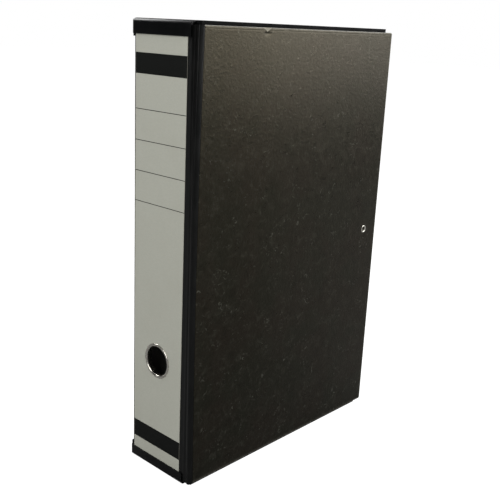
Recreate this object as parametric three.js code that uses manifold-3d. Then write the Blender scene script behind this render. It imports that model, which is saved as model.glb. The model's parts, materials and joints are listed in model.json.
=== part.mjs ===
// A foolscap box file, standing on its end as on a shelf.
//
// A case of boards (lid, spine and base) wraps a shallow tray. The tray's two ends are
// boards under a folded black cover, whose tabs lie over the ends of the spine and the base.
// A push-button catch in the fore-edge holds the lid, and a sprung wire press holds the papers.
//
// Millimetres. X runs from the spine to the fore-edge, Y from the lid to the base, Z up.
// Everything is laid out from the lid's outer corner at the spine, at X = 0 and Y = 0 on the
// floor, and the whole is moved at the end so that its own box stands centred on the origin.

import * as THREE from "three";
import { mergeVertices } from "three/addons/utils/BufferGeometryUtils.js";
import Module from "manifold-3d";

const wasm = await Module();
wasm.setup();

// Case and tray
const boxHeight = 373;
const lidWidth = 238.5;
const insideDepth = 68;
const board = 3;
const endBoard = 2.5;
const foreEdgeOverhang = 6.5;
const lidCornerRadius = 1.5;
const hingeGap = 3;

// Folded covers of the two ends
const cover = 1.5;
const coverPlate = 3;
const coverBend = 2.2;
const plateBend = 3.2;
const upperTab = 11.5;
const lowerTab = 10;
const baseFlange = 13.5;
const tabFromHinge = 2.6;
const coverCutback = 4;

// Hinge cloth and spine label
const cloth = 0.5;
const clothOnLid = 4;
const labelPaper = 0.3;
const labelFromHinge = 6.9;
const labelWidth = 59.1;

// Finger hole in the spine
const fingerBore = 25;
const fingerHoleZ = 100.4;
const ringWall = 0.5;
const ringFlange = 2;
const ringRise = 0.8;
const washerWidth = 4;
const washerThickness = 0.8;

// Catch: tongue under the lid, bracket and button in the fore-edge
const catchZ = 188;
const catchFromLid = 9;
const sheet = 1;
const buttonTravel = 4;
const buttonDiameter = 9;
const buttonProud = 6;
const buttonBevel = 1;
const headDiameter = 6;
const headLength = 4.2;
const neckDiameter = 3.2;
const neckMargin = 0.5;
const stemDiameter = 3.4;
const stemEnd = 1.2;
const stemEndDiameter = 5;
const clipDiameter = 6.8;
const springRoom = 10;
const springWire = 0.6;
const springTurns = 5;
const tongueWidth = 10;
const tongueLap = 14;
const tongueFromWall = 2;
const tongueTail = 4.5;
const bracketWidth = 11;
const bracketInside = 16;
const bracketFlange = 7;
const plateHeight = 36;
const plateWidth = 15;
const rivetShank = 3;
const rivetHead = 5;
const rivetRise = 0.8;

// Hollow rivet in the lid
const eyeletFromEdge = 19.2;
const eyeletFlange = 7.5;
const eyeletTube = 4.9;
const eyeletBore = 3.7;
const eyeletRise = 0.5;

// Paper press: plate, rod, wire bail and its two torsion springs
const pressZ = 186.5;
const pressSheet = 1.2;
const pressFromSpine = 5;
const pressWidth = 38;
const pressHeight = 120;
const pressRivetFromEdge = 10;
const pressRivetFromEnd = 20;
const earWidth = 10;
const earInset = 3;
const pivotFromSpine = 12;
const pivotFromBase = 7.5;
const rodDiameter = 3;
const rodHead = 4.8;
const rodHeadLength = 1.4;
const bailWire = 3;
const bailReach = 55;
const bailCorner = 10;
const coilWire = 1.2;
const coilTurns = 3.5;
const coilPitch = 1.5;
const coilLeg = 14;

// Clearances
const fit = 0.3;
const buttonFit = 0.5;
const tongueFit = 0.4;
const stemFit = 0.15;

// Planes and axes that the pieces share
const lidInnerY = board;
const baseInnerY = lidInnerY + insideDepth;
const baseOuterY = baseInnerY + board;
const backY = baseOuterY + cover;
const wallOuterX = lidWidth - foreEdgeOverhang;
const wallInnerX = wallOuterX - board;
const caseBottom = coverPlate;
const caseTop = boxHeight - coverPlate;
const spineNearY = lidInnerY + hingeGap;
const tabNearY = spineNearY + tabFromHinge;
const labelNearY = spineNearY + labelFromHinge;
const labelFarY = labelNearY + labelWidth;
const fingerHoleY = (labelNearY + labelFarY) / 2;
const ringTube = fingerBore + 2 * ringWall;
const catchY = lidInnerY + catchFromLid;
const eyeletX = lidWidth - eyeletFromEdge;
const tongueOuterX = wallInnerX - tongueFromWall;
const tongueInnerX = tongueOuterX - sheet;
const neckOuterX = tongueOuterX + neckMargin + buttonTravel;
const neckInnerX = tongueInnerX - neckMargin + buttonTravel;
const headInnerX = neckInnerX - headLength;
const bracketFaceX = headInnerX - springRoom;
const bracketBackX = bracketFaceX - sheet;
const clipOuterX = bracketBackX - fit;
const clipInnerX = clipOuterX - sheet;
const rivetOffset = bracketInside / 2 + sheet + bracketFlange / 2;
const pressFaceY = baseInnerY - pressSheet;
const pressX = board + pressFromSpine;
const pressRivetX = pressX + pressWidth - pressRivetFromEdge;
const pivotX = board + pivotFromSpine;
const pivotY = baseInnerY - pivotFromBase;
const earOuter = pressHeight / 2 - earInset;
const earInner = earOuter - pressSheet;
const coilRadius = (rodDiameter + coilWire) / 2 + fit;
const coilLength = coilTurns * coilPitch + coilWire;
const bailEyeRadius = (rodDiameter + bailWire) / 2 + fit;
const bailArm = earInner - coilLength - 2 * fit - bailWire / 2;
const bailTipX = pivotX + bailReach;
const bailTipY = baseInnerY - bailWire / 2 - fit;

const material = (color, roughness, metalness = 0) =>
  new THREE.MeshStandardMaterial({ color, roughness, metalness });
const looks = {
  marbledPaper: material(0x3a372f, 0.6),
  blackPaper: material(0x191917, 0.6),
  blackCover: material(0x141413, 0.4),
  hingeCloth: material(0x1c1b18, 0.6),
  labelPaper: material(0xa9a89b, 0.6),
  nickel: material(0xb9b6ae, 0.3, 1),
  steel: material(0x8f9092, 0.4, 1),
};

// A closed mesh as a solid that can be joined and cut
function solid(geometry) {
  const bare = geometry.clone();
  bare.deleteAttribute("normal");
  bare.deleteAttribute("uv");
  const merged = mergeVertices(bare);
  const mesh = new wasm.Mesh({
    numProp: 3,
    vertProperties: merged.attributes.position.array,
    triVerts: new Uint32Array(merged.index.array),
  });
  return new wasm.Manifold(mesh);
}

function drawn(body) {
  const mesh = body.getMesh();
  const geometry = new THREE.BufferGeometry();
  geometry.setAttribute("position", new THREE.BufferAttribute(mesh.vertProperties, 3));
  geometry.setIndex(new THREE.BufferAttribute(mesh.triVerts, 1));
  const flat = geometry.toNonIndexed();
  flat.computeVertexNormals();
  return flat;
}

function join(...geometries) {
  return drawn(geometries.map(solid).reduce((all, next) => all.add(next)));
}

function common(...geometries) {
  return drawn(geometries.map(solid).reduce((all, next) => all.intersect(next)));
}

function cut(geometry, ...tools) {
  return drawn(tools.map(solid).reduce((left, tool) => left.subtract(tool), solid(geometry)));
}

function block([x0, x1], [y0, y1], [z0, z1]) {
  const geometry = new THREE.BoxGeometry(x1 - x0, y1 - y0, z1 - z0);
  return geometry.translate((x0 + x1) / 2, (y0 + y1) / 2, (z0 + z1) / 2);
}

// A span that lies evenly about its middle
function about(middle, length) {
  return [middle - length / 2, middle + length / 2];
}

const vector = (x, y, z) => new THREE.Vector3(x, y, z);
const basis = (x, y, z) => new THREE.Matrix4().makeBasis(vector(...x), vector(...y), vector(...z));

// A lathe turns about Y, and an extrusion runs along Z: these lay them along another axis
const turnTo = {
  x: basis([0, -1, 0], [1, 0, 0], [0, 0, 1]),
  y: new THREE.Matrix4(),
  z: basis([1, 0, 0], [0, 0, 1], [0, -1, 0]),
};
const runAlong = {
  x: basis([0, 1, 0], [0, 0, 1], [1, 0, 0]),
  y: basis([1, 0, 0], [0, 0, 1], [0, -1, 0]),
  z: new THREE.Matrix4(),
};

// A turned piece: the profile holds [radius, distance along the axis] pairs
function turned(profile, axis, sides = 24) {
  const points = profile.map(([radius, along]) => new THREE.Vector2(radius, along));
  return new THREE.LatheGeometry(points, sides).applyMatrix4(turnTo[axis]);
}

function round(diameter, [from, to], axis, sides = 24) {
  const r = diameter / 2;
  return turned([[0, from], [r, from], [r, to], [0, to]], axis, sides);
}

// A ring of any section, whose profile is closed back to its first point
function ring(profile, axis, sides = 24) {
  return turned([...profile, profile[0]], axis, sides);
}

// An outline run along an axis. It is drawn in (y, z) for x, (x, z) for y and (x, y) for z.
function extruded(outline, [from, to], axis, curveSegments = 6) {
  const settings = { depth: to - from, bevelEnabled: false, curveSegments };
  const geometry = new THREE.ExtrudeGeometry(outline, settings).applyMatrix4(runAlong[axis]);
  const start = axis === "y" ? to : from;
  return geometry.translate(axis === "x" ? start : 0, axis === "y" ? start : 0, axis === "z" ? start : 0);
}

// A rectangle with one radius for each corner, from the lowest one onwards, turning left
function rounded([x0, x1], [y0, y1], [r0, r1, r2, r3]) {
  const outline = new THREE.Shape();
  const corner = (x, y, r, turn) => {
    if (r > 0) outline.absarc(x, y, r, (turn * Math.PI) / 2, ((turn + 1) * Math.PI) / 2);
    else outline.lineTo(x, y);
  };
  outline.moveTo(x0 + r0, y0);
  corner(x1 - r1, y0 + r1, r1, 3);
  corner(x1 - r2, y1 - r2, r2, 0);
  corner(x0 + r3, y1 - r3, r3, 1);
  corner(x0 + r0, y0 + r0, r0, 2);
  return outline;
}

// A wire of round section along a path
function wire(path, diameter, steps, sides = 8) {
  const section = new THREE.Shape(
    Array.from({ length: sides }, (_, i) => {
      const angle = (i * 2 * Math.PI) / sides;
      return new THREE.Vector2(Math.cos(angle), Math.sin(angle)).multiplyScalar(diameter / 2);
    }),
  );
  return new THREE.ExtrudeGeometry(section, { steps, extrudePath: path, bevelEnabled: false });
}

function lidBoard() {
  const r = lidCornerRadius;
  const outline = rounded([0, lidWidth], [caseBottom, caseTop], [r, r, r, r]);
  const hole = round(eyeletTube + 2 * fit, [-1, board + 1], "y").translate(eyeletX, 0, catchZ);
  return cut(extruded(outline, [0, board], "y"), hole);
}

function baseBoard() {
  const r = lidCornerRadius;
  const outline = rounded([0, lidWidth], [caseBottom, caseTop], [0, r, r, 0]);
  const holes = pressRivetPlaces().map((z) =>
    round(rivetShank + 2 * fit, [baseInnerY - 1, baseOuterY + 1], "y", 16).translate(pressRivetX, 0, z),
  );
  return cut(extruded(outline, [baseInnerY, baseOuterY], "y"), ...holes);
}

function fingerHole(span) {
  return round(ringTube + 2 * fit, span, "x", 48).translate(0, fingerHoleY, fingerHoleZ);
}

function spineBoard() {
  const slab = block([0, board], [spineNearY, baseInnerY], [caseBottom, caseTop]);
  return cut(slab, fingerHole([-1, board + 1]));
}

function spineLabel() {
  const slip = block([-labelPaper, 0], [labelNearY, labelFarY], [lowerTab, boxHeight - upperTab]);
  return cut(slip, fingerHole([-1, 1]));
}

function endBoardFrom(z) {
  return block([board, wallInnerX], [lidInnerY, baseInnerY], [z, z + endBoard]);
}

function catchHoles(span) {
  return [-rivetOffset, rivetOffset].map((offset) =>
    round(rivetShank + 2 * fit, span, "x", 16).translate(0, catchY, catchZ + offset),
  );
}

function foreEdgeBoard() {
  const slab = block([wallInnerX, wallOuterX], [lidInnerY, baseInnerY], [caseBottom, caseTop]);
  const span = [wallInnerX - 1, wallOuterX + 1];
  const buttonHole = round(buttonDiameter + 2 * buttonFit, span, "x").translate(0, catchY, catchZ);
  return cut(slab, buttonHole, ...catchHoles(span));
}

// One folded cover, drawn for the lower end: a doubled plate, a tab over the spine and a
// flange over the base, with round bends. Beside the hinge the plate is cut back.
function endCover(tab) {
  const reach = Math.max(tab, baseFlange);
  const near = [-cover, wallOuterX];
  const deep = [lidInnerY, backY];
  const bends = common(
    extruded(rounded(near, deep, [0, 0, 0, coverBend]), [0, reach], "z"),
    extruded(rounded(near, [0, reach], [plateBend, 0, 0, 0]), deep, "y"),
    extruded(rounded(deep, [0, reach], [0, plateBend, 0, 0]), near, "x"),
  );
  return cut(
    bends,
    block([0, lidWidth], [0, baseOuterY], [coverPlate, reach + 1]),
    block([-cover - 1, 0], [0, backY + 1], [tab, reach + 1]),
    block([0, lidWidth], [0, backY + 1], [baseFlange, reach + 1]),
    block([-cover - 1, 0], [0, tabNearY], [-1, reach + 1]),
    block([-1, coverCutback], [0, tabNearY], [-1, reach + 1]),
  );
}

// The cloth lies on the lid's face, turns round the corner and runs over the gap to the spine
function hingeCloth() {
  return join(
    block([-cloth, clothOnLid], [-cloth, 0], [caseBottom, caseTop]),
    block([-cloth, 0], [-cloth, tabNearY], [caseBottom, caseTop]),
  );
}

// A hollow rivet with a broad rolled flange outside and a narrower one over the washer
function fingerRing() {
  const bore = fingerBore / 2;
  const tube = ringTube / 2;
  const outerFace = -labelPaper;
  const innerFace = board + washerThickness;
  const profile = [
    [bore, outerFace - ringRise / 2],
    [bore + ringWall, outerFace - ringRise],
    [tube + ringFlange - ringRise / 2, outerFace - ringRise],
    [tube + ringFlange, outerFace - ringRise / 2],
    [tube + ringFlange, outerFace],
    [tube, outerFace],
    [tube, innerFace],
    [tube + ringFlange / 2, innerFace],
    [tube + ringFlange / 2, innerFace + ringWall],
    [bore, innerFace + ringWall],
  ];
  return ring(profile, "x", 48).translate(0, fingerHoleY, fingerHoleZ);
}

function fingerRingWasher() {
  const inner = ringTube / 2 + fit;
  const outer = inner + washerWidth;
  const faces = [board, board + washerThickness];
  const profile = [[inner, faces[0]], [outer, faces[0]], [outer, faces[1]], [inner, faces[1]]];
  return ring(profile, "x", 48).translate(0, fingerHoleY, fingerHoleZ);
}

function lidEyelet() {
  const bore = eyeletBore / 2;
  const tube = eyeletTube / 2;
  const flange = eyeletFlange / 2;
  const innerFace = lidInnerY + sheet;
  const profile = [
    [bore, -eyeletRise / 2],
    [tube, -eyeletRise],
    [flange - eyeletRise / 2, -eyeletRise],
    [flange, -eyeletRise / 2],
    [flange, 0],
    [tube, 0],
    [tube, innerFace],
    [flange - eyeletRise, innerFace],
    [flange - eyeletRise, innerFace + eyeletRise],
    [bore, innerFace + eyeletRise],
  ];
  return ring(profile, "y").translate(eyeletX, 0, catchZ);
}

// The tongue is riveted under the lid. Its leg has a keyhole: the button's head fills the
// round part and holds the lid, and the pressed button's thin neck lets the slot slide past.
function catchTongue() {
  const tip = catchY + tongueTail;
  const plate = block([tongueOuterX - tongueLap, tongueOuterX], [lidInnerY, lidInnerY + sheet], about(catchZ, tongueWidth));
  const leg = block([tongueInnerX, tongueOuterX], [lidInnerY, tip], about(catchZ, tongueWidth));
  const through = [tongueInnerX - 1, tongueOuterX + 1];
  return cut(
    join(plate, leg),
    round(headDiameter + 2 * tongueFit, through, "x").translate(0, catchY, catchZ),
    block(through, [catchY, tip + 1], about(catchZ, neckDiameter + 2 * fit)),
    round(eyeletTube + 2 * fit, [0, lidInnerY + 2 * sheet], "y").translate(eyeletX, 0, catchZ),
  );
}

// From its peened inner end outwards: stem, head, neck and finger cap
function catchButton() {
  const capX = wallOuterX + buttonProud;
  const [end, stem, head, neck, cap] = [
    stemEndDiameter, stemDiameter, headDiameter, neckDiameter, buttonDiameter,
  ].map((diameter) => diameter / 2);
  const profile = [
    [0, clipInnerX - stemEnd],
    [end, clipInnerX - stemEnd],
    [end, clipInnerX],
    [stem, clipInnerX],
    [stem, headInnerX],
    [head, headInnerX],
    [head, neckInnerX],
    [neck, neckInnerX],
    [neck, neckOuterX],
    [cap, neckOuterX],
    [cap, capX - buttonBevel],
    [cap - buttonBevel, capX],
    [0, capX],
  ];
  return turned(profile, "x").translate(0, catchY, catchZ);
}

function catchClip() {
  const inner = stemDiameter / 2 + stemFit;
  const outer = clipDiameter / 2;
  const profile = [[inner, clipInnerX], [outer, clipInnerX], [outer, clipOuterX], [inner, clipOuterX]];
  return ring(profile, "x").translate(0, catchY, catchZ);
}

// A pressed bracket inside the fore-edge: the stem's guide, two cheeks and two riveted feet
function catchBracket() {
  const width = about(catchY, bracketWidth);
  const cheek = bracketInside / 2;
  const foot = cheek + sheet + bracketFlange;
  const sides = [-1, 1].flatMap((side) => {
    const span = (from, to) => [catchZ + side * from, catchZ + side * to].sort((a, b) => a - b);
    return [
      block([bracketBackX, wallInnerX], width, span(cheek, cheek + sheet)),
      block([wallInnerX - sheet, wallInnerX], width, span(cheek, foot)),
    ];
  });
  const guide = block([bracketBackX, bracketFaceX], width, about(catchZ, 2 * (cheek + sheet)));
  const guideHole = round(stemDiameter + 2 * fit, [bracketBackX - 1, bracketFaceX + 1], "x");
  return cut(
    join(guide, ...sides),
    guideHole.translate(0, catchY, catchZ),
    ...catchHoles([wallInnerX - 2 * sheet, wallInnerX + 1]),
  );
}

function catchPlate() {
  const r = lidCornerRadius;
  const outline = rounded(about(catchY, plateWidth), about(catchZ, plateHeight), [r, r, r, r]);
  const span = [wallOuterX - 1, wallOuterX + sheet + 1];
  const buttonHole = round(buttonDiameter + 2 * buttonFit, span, "x").translate(0, catchY, catchZ);
  return cut(extruded(outline, [wallOuterX, wallOuterX + sheet], "x"), buttonHole, ...catchHoles(span));
}

// A rivet with a low head at each end of what it holds
function rivet([from, to], axis) {
  const shank = rivetShank / 2;
  const head = rivetHead / 2;
  const profile = [
    [0, from - rivetRise],
    [head - rivetRise, from - rivetRise],
    [head, from],
    [shank, from],
    [shank, to],
    [head, to],
    [head - rivetRise, to + rivetRise],
    [0, to + rivetRise],
  ];
  return turned(profile, axis, 16);
}

function catchRivet(side) {
  const span = [wallInnerX - sheet, wallOuterX + sheet];
  return rivet(span, "x").translate(0, catchY, catchZ + side * rivetOffset);
}

// The coil stands between the bracket's guide and the button's head
function catchSpring() {
  const radius = (stemDiameter + springWire) / 2 + fit;
  const room = springRoom - springWire - 2 * fit;
  const stepsInTurn = 12;
  const points = Array.from({ length: springTurns * stepsInTurn + 1 }, (_, i) => {
    const angle = (i * 2 * Math.PI) / stepsInTurn;
    const along = bracketFaceX + fit + springWire / 2 + (room * i) / (springTurns * stepsInTurn);
    return vector(along, catchY + radius * Math.cos(angle), catchZ + radius * Math.sin(angle));
  });
  return wire(new THREE.CatmullRomCurve3(points), springWire, springTurns * stepsInTurn, 6);
}

function pressRivetPlaces() {
  return about(pressZ, pressHeight - 2 * pressRivetFromEnd);
}

// The press's plate with its two bent ears, which hold the rod
function pressPlate() {
  const plate = block([pressX, pressX + pressWidth], [pressFaceY, baseInnerY], about(pressZ, pressHeight));
  const r = earWidth / 2;
  const ears = [-1, 1].map((side) => {
    const span = [pressZ + side * earInner, pressZ + side * earOuter].sort((a, b) => a - b);
    const outline = rounded(about(pivotX, earWidth), [pivotY - r, baseInnerY], [r * 0.99, r * 0.99, 0, 0]);
    return extruded(outline, span, "z");
  });
  const rodHole = round(rodDiameter + 2 * fit, about(pressZ, pressHeight), "z").translate(pivotX, pivotY, 0);
  const rivetHoles = pressRivetPlaces().map((z) =>
    round(rivetShank + 2 * fit, [pressFaceY - 1, baseInnerY + 1], "y", 16).translate(pressRivetX, 0, z),
  );
  return cut(join(plate, ...ears), rodHole, ...rivetHoles);
}

function pressRivet(z) {
  return rivet([pressFaceY, baseOuterY], "y").translate(pressRivetX, 0, z);
}

function pivotRod() {
  const r = rodDiameter / 2;
  const head = rodHead / 2;
  const [low, high] = about(pressZ, 2 * earOuter);
  const profile = [
    [0, low - rodHeadLength],
    [head, low - rodHeadLength],
    [head, low],
    [r, low],
    [r, high],
    [head, high],
    [head, high + rodHeadLength],
    [0, high + rodHeadLength],
  ];
  return turned(profile, "z", 16).translate(pivotX, pivotY, 0);
}

// The bail is one wire: an eye round the rod at each end, two arms and a crossbar that
// rests on the base
function pressBail() {
  const pivot = vector(pivotX, pivotY, pressZ);
  const tip = vector(bailTipX, bailTipY, pressZ);
  const outward = tip.clone().sub(pivot).normalize();
  const start = pivot.clone().addScaledVector(outward, bailEyeRadius);
  const bend = tip.clone().addScaledVector(outward, -bailCorner);
  const lifted = (point, z) => vector(point.x, point.y, pressZ + z);
  const path = new THREE.CurvePath();
  path.add(new THREE.LineCurve3(lifted(start, -bailArm), lifted(bend, -bailArm)));
  path.add(
    new THREE.QuadraticBezierCurve3(
      lifted(bend, -bailArm),
      lifted(tip, -bailArm),
      lifted(tip, bailCorner - bailArm),
    ),
  );
  path.add(new THREE.LineCurve3(lifted(tip, bailCorner - bailArm), lifted(tip, bailArm - bailCorner)));
  path.add(
    new THREE.QuadraticBezierCurve3(
      lifted(tip, bailArm - bailCorner),
      lifted(tip, bailArm),
      lifted(bend, bailArm),
    ),
  );
  path.add(new THREE.LineCurve3(lifted(bend, bailArm), lifted(start, bailArm)));
  const section = Array.from({ length: 8 }, (_, i) => {
    const angle = ((i + 0.5) * Math.PI) / 4;
    return [bailEyeRadius + (bailWire / 2) * Math.cos(angle), (bailWire / 2) * Math.sin(angle)];
  });
  const eyes = [-bailArm, bailArm].map((z) => ring(section, "z").translate(pivotX, pivotY, pressZ + z));
  return join(wire(path, bailWire, 80), ...eyes);
}

// A torsion spring for one end of the rod: a leg on the plate, the coil round the rod, and
// a leg that presses on the bail's arm
function bailSpring(side) {
  const slope = (bailTipY - pivotY) / bailReach;
  const plateLegY = pressFaceY - coilWire / 2 - fit;
  const armLegY = (x) => pivotY + slope * (x - pivotX) - (bailWire + coilWire) / 2 - fit;
  const eyeEdge = pivotX + bailEyeRadius + bailWire;
  const outerZ = earInner - fit - coilWire / 2;
  const innerZ = outerZ - coilTurns * coilPitch;
  const stepsInTurn = 12;
  const steps = coilTurns * stepsInTurn;
  const coil = Array.from({ length: steps + 1 }, (_, i) => {
    const angle = Math.PI / 2 + (i * 2 * Math.PI) / stepsInTurn;
    const z = outerZ - (i / stepsInTurn) * coilPitch;
    return vector(pivotX + coilRadius * Math.cos(angle), pivotY + coilRadius * Math.sin(angle), pressZ + side * z);
  });
  const points = [
    vector(pivotX + coilLeg, plateLegY, pressZ + side * outerZ),
    vector(pivotX + coilLeg / 2, (plateLegY + pivotY + coilRadius) / 2, pressZ + side * outerZ),
    ...coil,
    vector(eyeEdge, armLegY(eyeEdge), pressZ + side * innerZ),
    vector(pivotX + coilLeg, armLegY(pivotX + coilLeg), pressZ + side * (bailArm - bailWire / 2)),
  ];
  return wire(new THREE.CatmullRomCurve3(points, false, "centripetal"), coilWire, 2 * steps, 6);
}

const boxFile = new THREE.Group();

function place(name, geometry, look) {
  const mesh = new THREE.Mesh(geometry, look);
  mesh.name = name;
  boxFile.add(mesh);
  return mesh;
}

// Case
place("lid_board", lidBoard(), looks.marbledPaper);
place("base_board", baseBoard(), looks.marbledPaper);
place("spine_board", spineBoard(), looks.blackPaper);
place("hinge_cloth", hingeCloth(), looks.hingeCloth);
place("spine_label", spineLabel(), looks.labelPaper);

// Tray. The upper cover is the lower one's mirror image.
place("lower_end_board", endBoardFrom(caseBottom), looks.blackPaper);
place("upper_end_board", endBoardFrom(caseTop - endBoard), looks.blackPaper);
place("fore_edge_board", foreEdgeBoard(), looks.blackPaper);
place("lower_end_cover", endCover(lowerTab), looks.blackCover);
const upperEndCover = place("upper_end_cover", endCover(upperTab), looks.blackCover);
upperEndCover.scale.z = -1;
upperEndCover.position.z = boxHeight;

// Finger hole
place("finger_ring", fingerRing(), looks.nickel);
place("finger_ring_washer", fingerRingWasher(), looks.nickel);

// Catch
place("lid_eyelet", lidEyelet(), looks.nickel);
place("catch_tongue", catchTongue(), looks.nickel);
place("catch_button", catchButton(), looks.nickel);
place("catch_clip", catchClip(), looks.steel);
place("catch_spring", catchSpring(), looks.steel);
place("catch_bracket", catchBracket(), looks.steel);
place("catch_plate", catchPlate(), looks.nickel);
place("catch_rivet_lower", catchRivet(-1), looks.nickel);
place("catch_rivet_upper", catchRivet(1), looks.nickel);

// Paper press
const [lowPressRivetZ, highPressRivetZ] = pressRivetPlaces();
place("press_plate", pressPlate(), looks.steel);
place("press_rivet_lower", pressRivet(lowPressRivetZ), looks.steel);
place("press_rivet_upper", pressRivet(highPressRivetZ), looks.steel);
place("pivot_rod", pivotRod(), looks.steel);
place("press_bail", pressBail(), looks.steel);
place("bail_spring_lower", bailSpring(-1), looks.steel);
place("bail_spring_upper", bailSpring(1), looks.steel);

boxFile.position.set((cover - lidWidth) / 2, (cloth - backY) / 2, 0);

export default boxFile;
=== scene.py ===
# A foolscap box file: marbled boards, black hinge cloth and end covers, a spine label with a
# finger hole, and inside it a push-button catch and a sprung wire press.
#
# Lengths below are millimetres in the case's own frame: X runs from the hinge to the
# fore-edge, Y from the lid's face to the base, and Z up from the floor.

import json
import math

import bmesh
import bpy
from mathutils import Matrix, Vector


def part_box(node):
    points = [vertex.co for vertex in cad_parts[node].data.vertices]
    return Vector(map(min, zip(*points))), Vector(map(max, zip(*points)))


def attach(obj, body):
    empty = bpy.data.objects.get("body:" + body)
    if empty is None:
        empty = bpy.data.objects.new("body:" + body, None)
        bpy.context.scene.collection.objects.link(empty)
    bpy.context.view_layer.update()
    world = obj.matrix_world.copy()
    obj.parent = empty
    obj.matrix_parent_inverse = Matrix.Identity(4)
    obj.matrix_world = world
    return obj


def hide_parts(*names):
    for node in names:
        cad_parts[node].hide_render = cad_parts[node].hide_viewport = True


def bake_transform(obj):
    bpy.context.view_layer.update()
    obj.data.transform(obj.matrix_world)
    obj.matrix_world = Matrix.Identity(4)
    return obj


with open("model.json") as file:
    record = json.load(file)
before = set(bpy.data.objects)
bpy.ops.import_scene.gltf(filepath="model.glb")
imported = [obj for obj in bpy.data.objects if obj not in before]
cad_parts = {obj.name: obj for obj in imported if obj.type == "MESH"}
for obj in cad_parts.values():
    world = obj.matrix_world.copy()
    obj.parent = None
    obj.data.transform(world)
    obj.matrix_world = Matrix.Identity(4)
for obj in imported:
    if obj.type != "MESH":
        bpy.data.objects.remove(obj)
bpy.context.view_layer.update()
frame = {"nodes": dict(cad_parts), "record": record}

MM = 0.001


def node_box(node):
    """The corners of a CAD node, in millimetres of the case's frame."""
    low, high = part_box(node)
    return (low - ORIGIN) / MM, (high - ORIGIN) / MM


# The case's frame starts at the lid's outer corner beside the hinge
lid_low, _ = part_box("lid_board")
ORIGIN = Vector((lid_low.x, lid_low.y, 0))
LID = node_box("lid_board")
BASE = node_box("base_board")
SPINE = node_box("spine_board")
CLOTH = node_box("hinge_cloth")
LABEL = node_box("spine_label")
RING = node_box("finger_ring")
EYELET = node_box("lid_eyelet")
WALL = node_box("fore_edge_board")
LOWER_END = node_box("lower_end_board")
UPPER_END = node_box("upper_end_board")

BODY_OF = {
    node: body
    for body, nodes in frame["record"]["behaviour"]["bodies"].items()
    for node in nodes
}
SLOT_OF = {part["node"]: part["material_slot"] for part in frame["record"]["subparts"]}


def at(x, y, z):
    """A point of the case's frame, in the scene's metres."""
    return ORIGIN + Vector((x, y, z)) * MM


def smoothstep(value, low, high):
    share = min(1, max(0, (value - low) / (high - low)))
    return share * share * (3 - 2 * share)


# Materials


def add(tree, kind, inputs=None, **settings):
    made = tree.nodes.new("ShaderNode" + kind)
    for key, value in settings.items():
        setattr(made, key, value)
    for key, value in (inputs or {}).items():
        if isinstance(value, bpy.types.NodeSocket):
            tree.links.new(value, made.inputs[key])
        else:
            made.inputs[key].default_value = value
    return made


def calc(tree, operation, a, b=0.0):
    return add(tree, "Math", {0: a, 1: b}, operation=operation).outputs[0]


def colour(red, green, blue):
    return (red, green, blue, 1)


def mix(tree, factor, a, b, blend_type="MIX"):
    made = add(tree, "Mix", data_type="RGBA", blend_type=blend_type, clamp_factor=True)
    for index, value in ((0, factor), (6, a), (7, b)):
        if isinstance(value, bpy.types.NodeSocket):
            tree.links.new(value, made.inputs[index])
        else:
            made.inputs[index].default_value = value
    return made.outputs[2]


def ramp(tree, value, low, high, start=0.0, end=1.0):
    """start below low, end above high, and a smooth step between."""
    inputs = {"Value": value, "From Min": low, "From Max": high, "To Min": start, "To Max": end}
    return add(tree, "MapRange", inputs, interpolation_type="SMOOTHSTEP").outputs["Result"]


def noise(tree, place, size, detail=2.0, roughness=0.5, distortion=0.0, offset=(0, 0, 0)):
    """Noise whose blots are about size millimetres across."""
    moved = add(tree, "VectorMath", {0: place, 1: offset}, operation="ADD").outputs[0]
    inputs = {
        "Vector": moved,
        "Scale": 1 / size,
        "Detail": detail,
        "Roughness": roughness,
        "Distortion": distortion,
    }
    return add(tree, "TexNoise", inputs).outputs["Fac"]


def band(tree, value, middle, half_width, soft):
    """1 within half_width of the middle, and 0 outside it."""
    away = calc(tree, "ABSOLUTE", calc(tree, "SUBTRACT", value, middle))
    return ramp(tree, away, half_width - soft / 2, half_width + soft / 2, 1.0, 0.0)


def within(tree, value, low, high, soft=0.05):
    return band(tree, value, (low + high) / 2, (high - low) / 2, soft)


class Paint:
    """One material, with its coordinates in millimetres of the case's frame."""

    def __init__(self, name):
        self.material = bpy.data.materials.new(name)
        self.material.use_nodes = True
        self.tree = self.material.node_tree
        self.tree.nodes.clear()
        raw = add(self.tree, "TexCoord").outputs["Object"]
        shifted = add(self.tree, "VectorMath", {0: raw, 1: ORIGIN}, operation="SUBTRACT").outputs[0]
        scaled = add(self.tree, "VectorMath", {0: shifted, "Scale": 1 / MM}, operation="SCALE")
        self.place = scaled.outputs[0]
        split = add(self.tree, "SeparateXYZ", {0: self.place})
        self.x, self.y, self.z = split.outputs

    def stretched(self, x, y, z):
        inputs = {0: self.place, 1: (x, y, z)}
        return add(self.tree, "VectorMath", inputs, operation="MULTIPLY").outputs[0]

    def attribute(self, name):
        return add(self.tree, "Attribute", attribute_name=name).outputs["Fac"]

    def finish(self, base, roughness, height=None, relief=0.1, strength=1.0, **constants):
        """relief is the bump's depth in millimetres, and constants are set on the shader itself."""
        inputs = {"Base Color": base, "Roughness": roughness}
        if height is not None:
            bump = {"Height": height, "Distance": relief * MM, "Strength": strength}
            inputs["Normal"] = add(self.tree, "Bump", bump).outputs["Normal"]
        for key, value in constants.items():
            inputs[key.replace("_", " ")] = value
        shader = add(self.tree, "BsdfPrincipled", inputs)
        out = add(self.tree, "OutputMaterial")
        self.tree.links.new(shader.outputs[0], out.inputs[0])
        return self.material


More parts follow.
